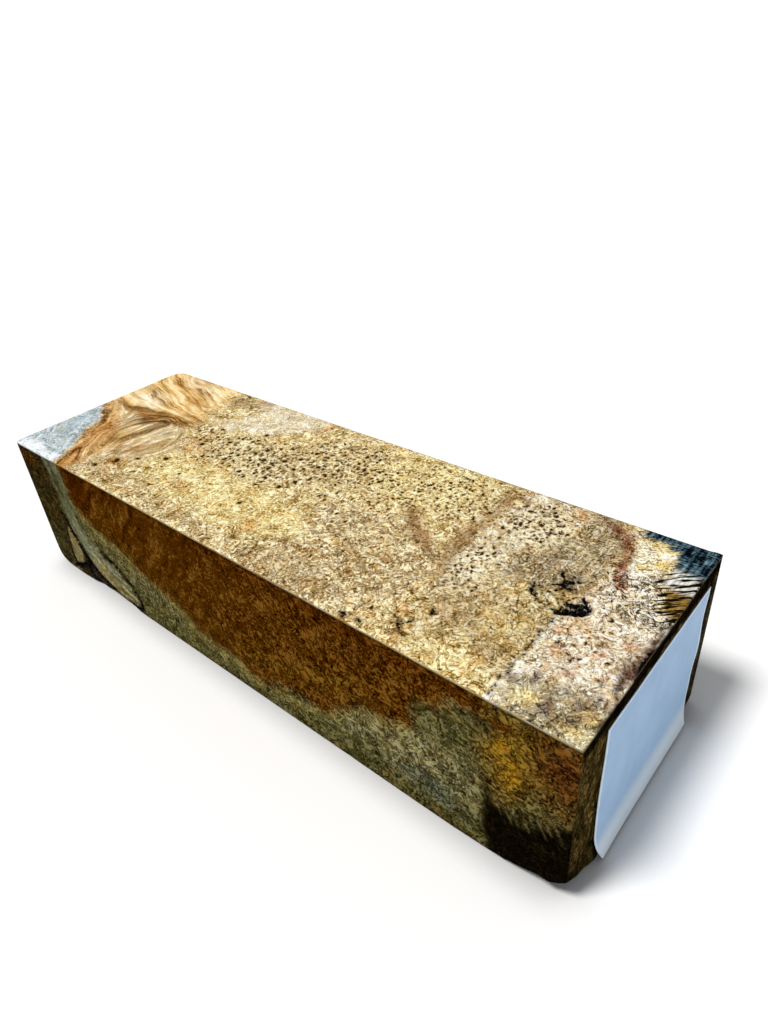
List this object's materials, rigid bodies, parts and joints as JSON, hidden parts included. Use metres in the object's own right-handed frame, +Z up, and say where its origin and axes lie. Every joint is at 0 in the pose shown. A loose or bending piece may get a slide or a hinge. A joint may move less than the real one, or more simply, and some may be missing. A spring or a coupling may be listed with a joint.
{
  "type": "amboyna burl block",
  "caption": "Sawn rectangular block of figured amboyna burl with bark pockets, worn lower corners and a blank paper label on one end.",
  "frame": {"origin": "middle of the sawn underside, which the block rests on", "axes": "+X along the block to the labelled end, -Y out of the long side with the bark veins, +Z up out of the figured top"},
  "size_m": [0.1519, 0.0499, 0.036],
  "materials": {
    "burl_wood": "sawn and sanded bare burl: cream and gold eyes on top, amber to grey-green sides, black bark pockets",
    "label_paper": "smooth matte white paper, softly creased"
  },
  "bodies": {
    "root": {"burl_block": "burl_wood", "end_label": "label_paper"}
  },
  "joints": []
}
